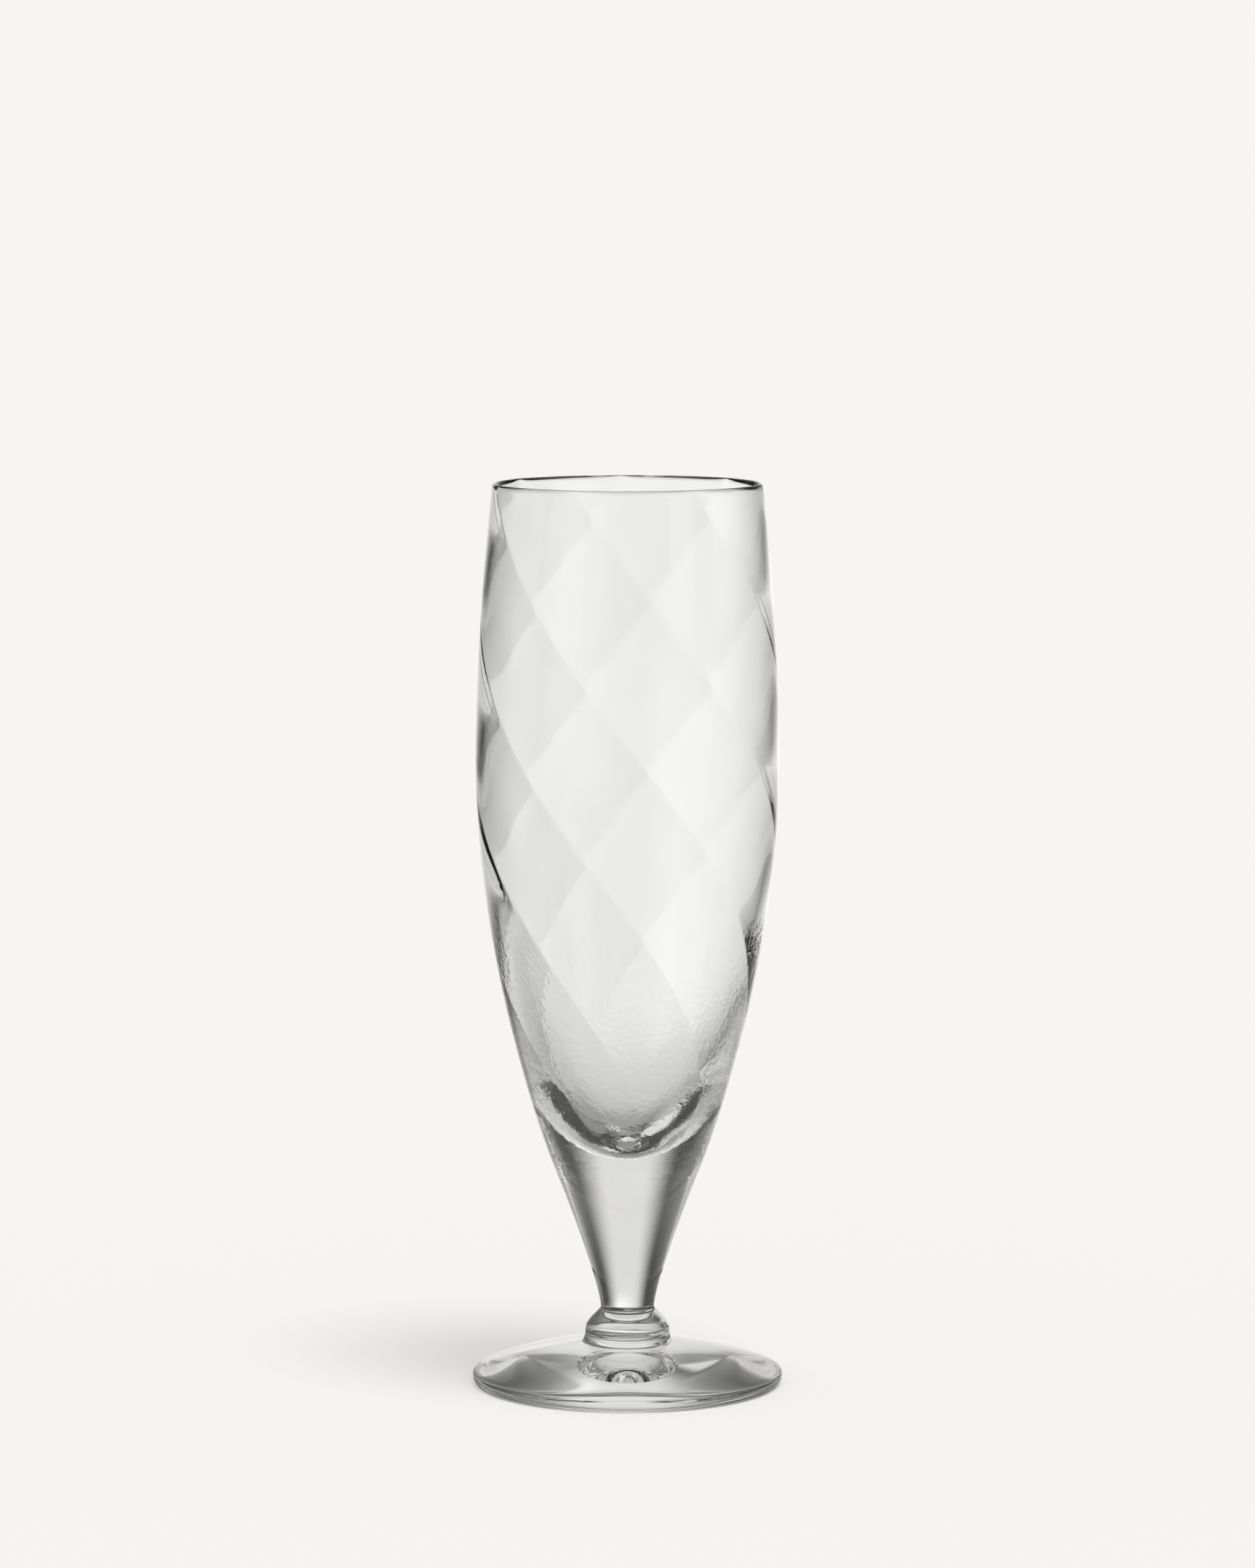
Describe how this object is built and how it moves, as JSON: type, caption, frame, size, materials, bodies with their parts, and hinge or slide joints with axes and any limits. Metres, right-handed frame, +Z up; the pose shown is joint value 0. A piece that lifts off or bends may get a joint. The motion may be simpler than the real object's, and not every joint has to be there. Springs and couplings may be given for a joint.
{
  "type": "pilsner glass",
  "caption": "Tall clear pilsner glass: slim blown bowl with a twisted optic inside, on a solid tapered stem, a small knop and a domed foot. Holds a drink and stands on a table.",
  "frame": {"origin": "centre of the foot on the table plane, with the foot's flat ring on z = 0", "axes": "+Z up along the axis that all four pieces are turned about; -Y is the side seen in the picture"},
  "size_m": [0.0706, 0.0706, 0.205],
  "materials": {
    "clear_glass": "fire-polished clear glass"
  },
  "bodies": {
    "root": {"bowl": "clear_glass", "stem": "clear_glass", "knop": "clear_glass", "foot": "clear_glass"}
  },
  "joints": []
}
